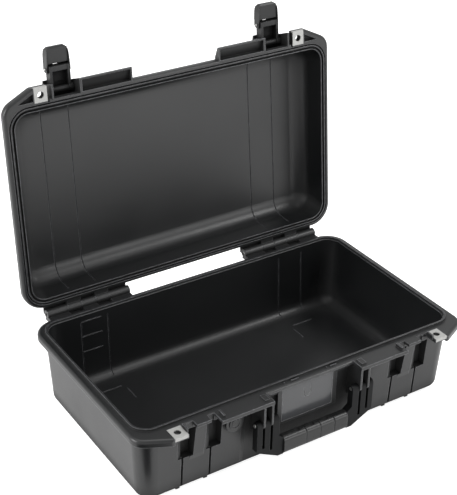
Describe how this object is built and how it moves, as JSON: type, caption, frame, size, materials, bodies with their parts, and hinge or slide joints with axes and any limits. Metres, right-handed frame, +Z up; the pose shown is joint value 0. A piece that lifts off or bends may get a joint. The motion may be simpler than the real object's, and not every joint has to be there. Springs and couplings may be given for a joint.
{
  "type": "laptop hard case",
  "caption": "Hard protective case for a laptop: deep tub, hinged lid with a seal, draw latches, padlock eyes and a folding carry handle.",
  "frame": {"origin": "centre of the tub's underside, on the floor plane", "axes": "+X to the right seen from the front (handle side), +Y towards the hinges, +Z up; stored with the lid open and the latches standing out"},
  "size_m": [0.5492, 0.4263, 0.512],
  "materials": {
    "case_polymer": "fine moulded texture",
    "latch_polymer": "satin",
    "handle_polymer": "satin",
    "grip_rubber": "smooth, matt",
    "seal_rubber": "matt",
    "stainless_plate": "brushed",
    "steel_pin": "drawn",
    "spring_steel": "drawn",
    "window_polymer": "smoke tinted, glossy",
    "blank_card": "plain uncoated",
    "vent_membrane": "woven",
    "valve_polymer": "satin"
  },
  "bodies": {
    "base": {"base_shell": "case_polymer", "name_card": "blank_card", "card_window": "window_polymer", "valve_body": "valve_polymer", "valve_cap": "valve_polymer", "valve_gasket": "seal_rubber", "valve_membrane": "vent_membrane", "valve_nut": "valve_polymer", "hinge_pin_left": "steel_pin", "hinge_pin_right": "steel_pin", "padlock_plate_base_left": "stainless_plate", "padlock_plate_base_right": "stainless_plate", "handle_pin_left": "steel_pin", "handle_pin_right": "steel_pin"},
    "lid": {"lid_shell": "case_polymer", "lid_gasket": "seal_rubber", "padlock_plate_lid_left": "stainless_plate", "padlock_plate_lid_right": "stainless_plate", "latch_pin_left": "steel_pin", "latch_pin_right": "steel_pin"},
    "handle": {"handle_frame": "handle_polymer", "handle_grip": "grip_rubber"},
    "latch_left": {"latch_arm_left": "latch_polymer", "lever_pin_left": "steel_pin", "lever_spring_left": "spring_steel"},
    "lever_left": {"latch_lever_left": "latch_polymer"},
    "latch_right": {"latch_arm_right": "latch_polymer", "lever_pin_right": "steel_pin", "lever_spring_right": "spring_steel"},
    "lever_right": {"latch_lever_right": "latch_polymer"}
  },
  "joints": [
    {"name": "lid_hinge", "type": "hinge", "parent": "base", "child": "lid", "pos_m": [0, 0.1685, 0.1256], "axis": [1, 0, 0], "range_deg": [0, 95.7]},
    {"name": "latch_left_swing", "type": "hinge", "parent": "lid", "child": "latch_left", "pos_m": [-0.177, 0.22003, 0.45159], "axis": [1, 0, 0], "range_deg": [0, 90]},
    {"name": "latch_right_swing", "type": "hinge", "parent": "lid", "child": "latch_right", "pos_m": [0.177, 0.22003, 0.45159], "axis": [1, 0, 0], "range_deg": [0, 90]},
    {"name": "lever_left_pull", "type": "hinge", "parent": "latch_left", "child": "lever_left", "pos_m": [-0.177, 0.22695, 0.48065], "axis": [-1, 0, 0], "range_deg": [0, 35], "stiffness_Nm_per_rad": 0.1, "springref_deg": -28.65},
    {"name": "lever_right_pull", "type": "hinge", "parent": "latch_right", "child": "lever_right", "pos_m": [0.177, 0.22695, 0.48065], "axis": [-1, 0, 0], "range_deg": [0, 35], "stiffness_Nm_per_rad": 0.1, "springref_deg": -28.65},
    {"name": "handle_swing", "type": "hinge", "parent": "base", "child": "handle", "pos_m": [0, -0.168, 0.087], "axis": [-1, 0, 0], "range_deg": [0, 98]}
  ]
}
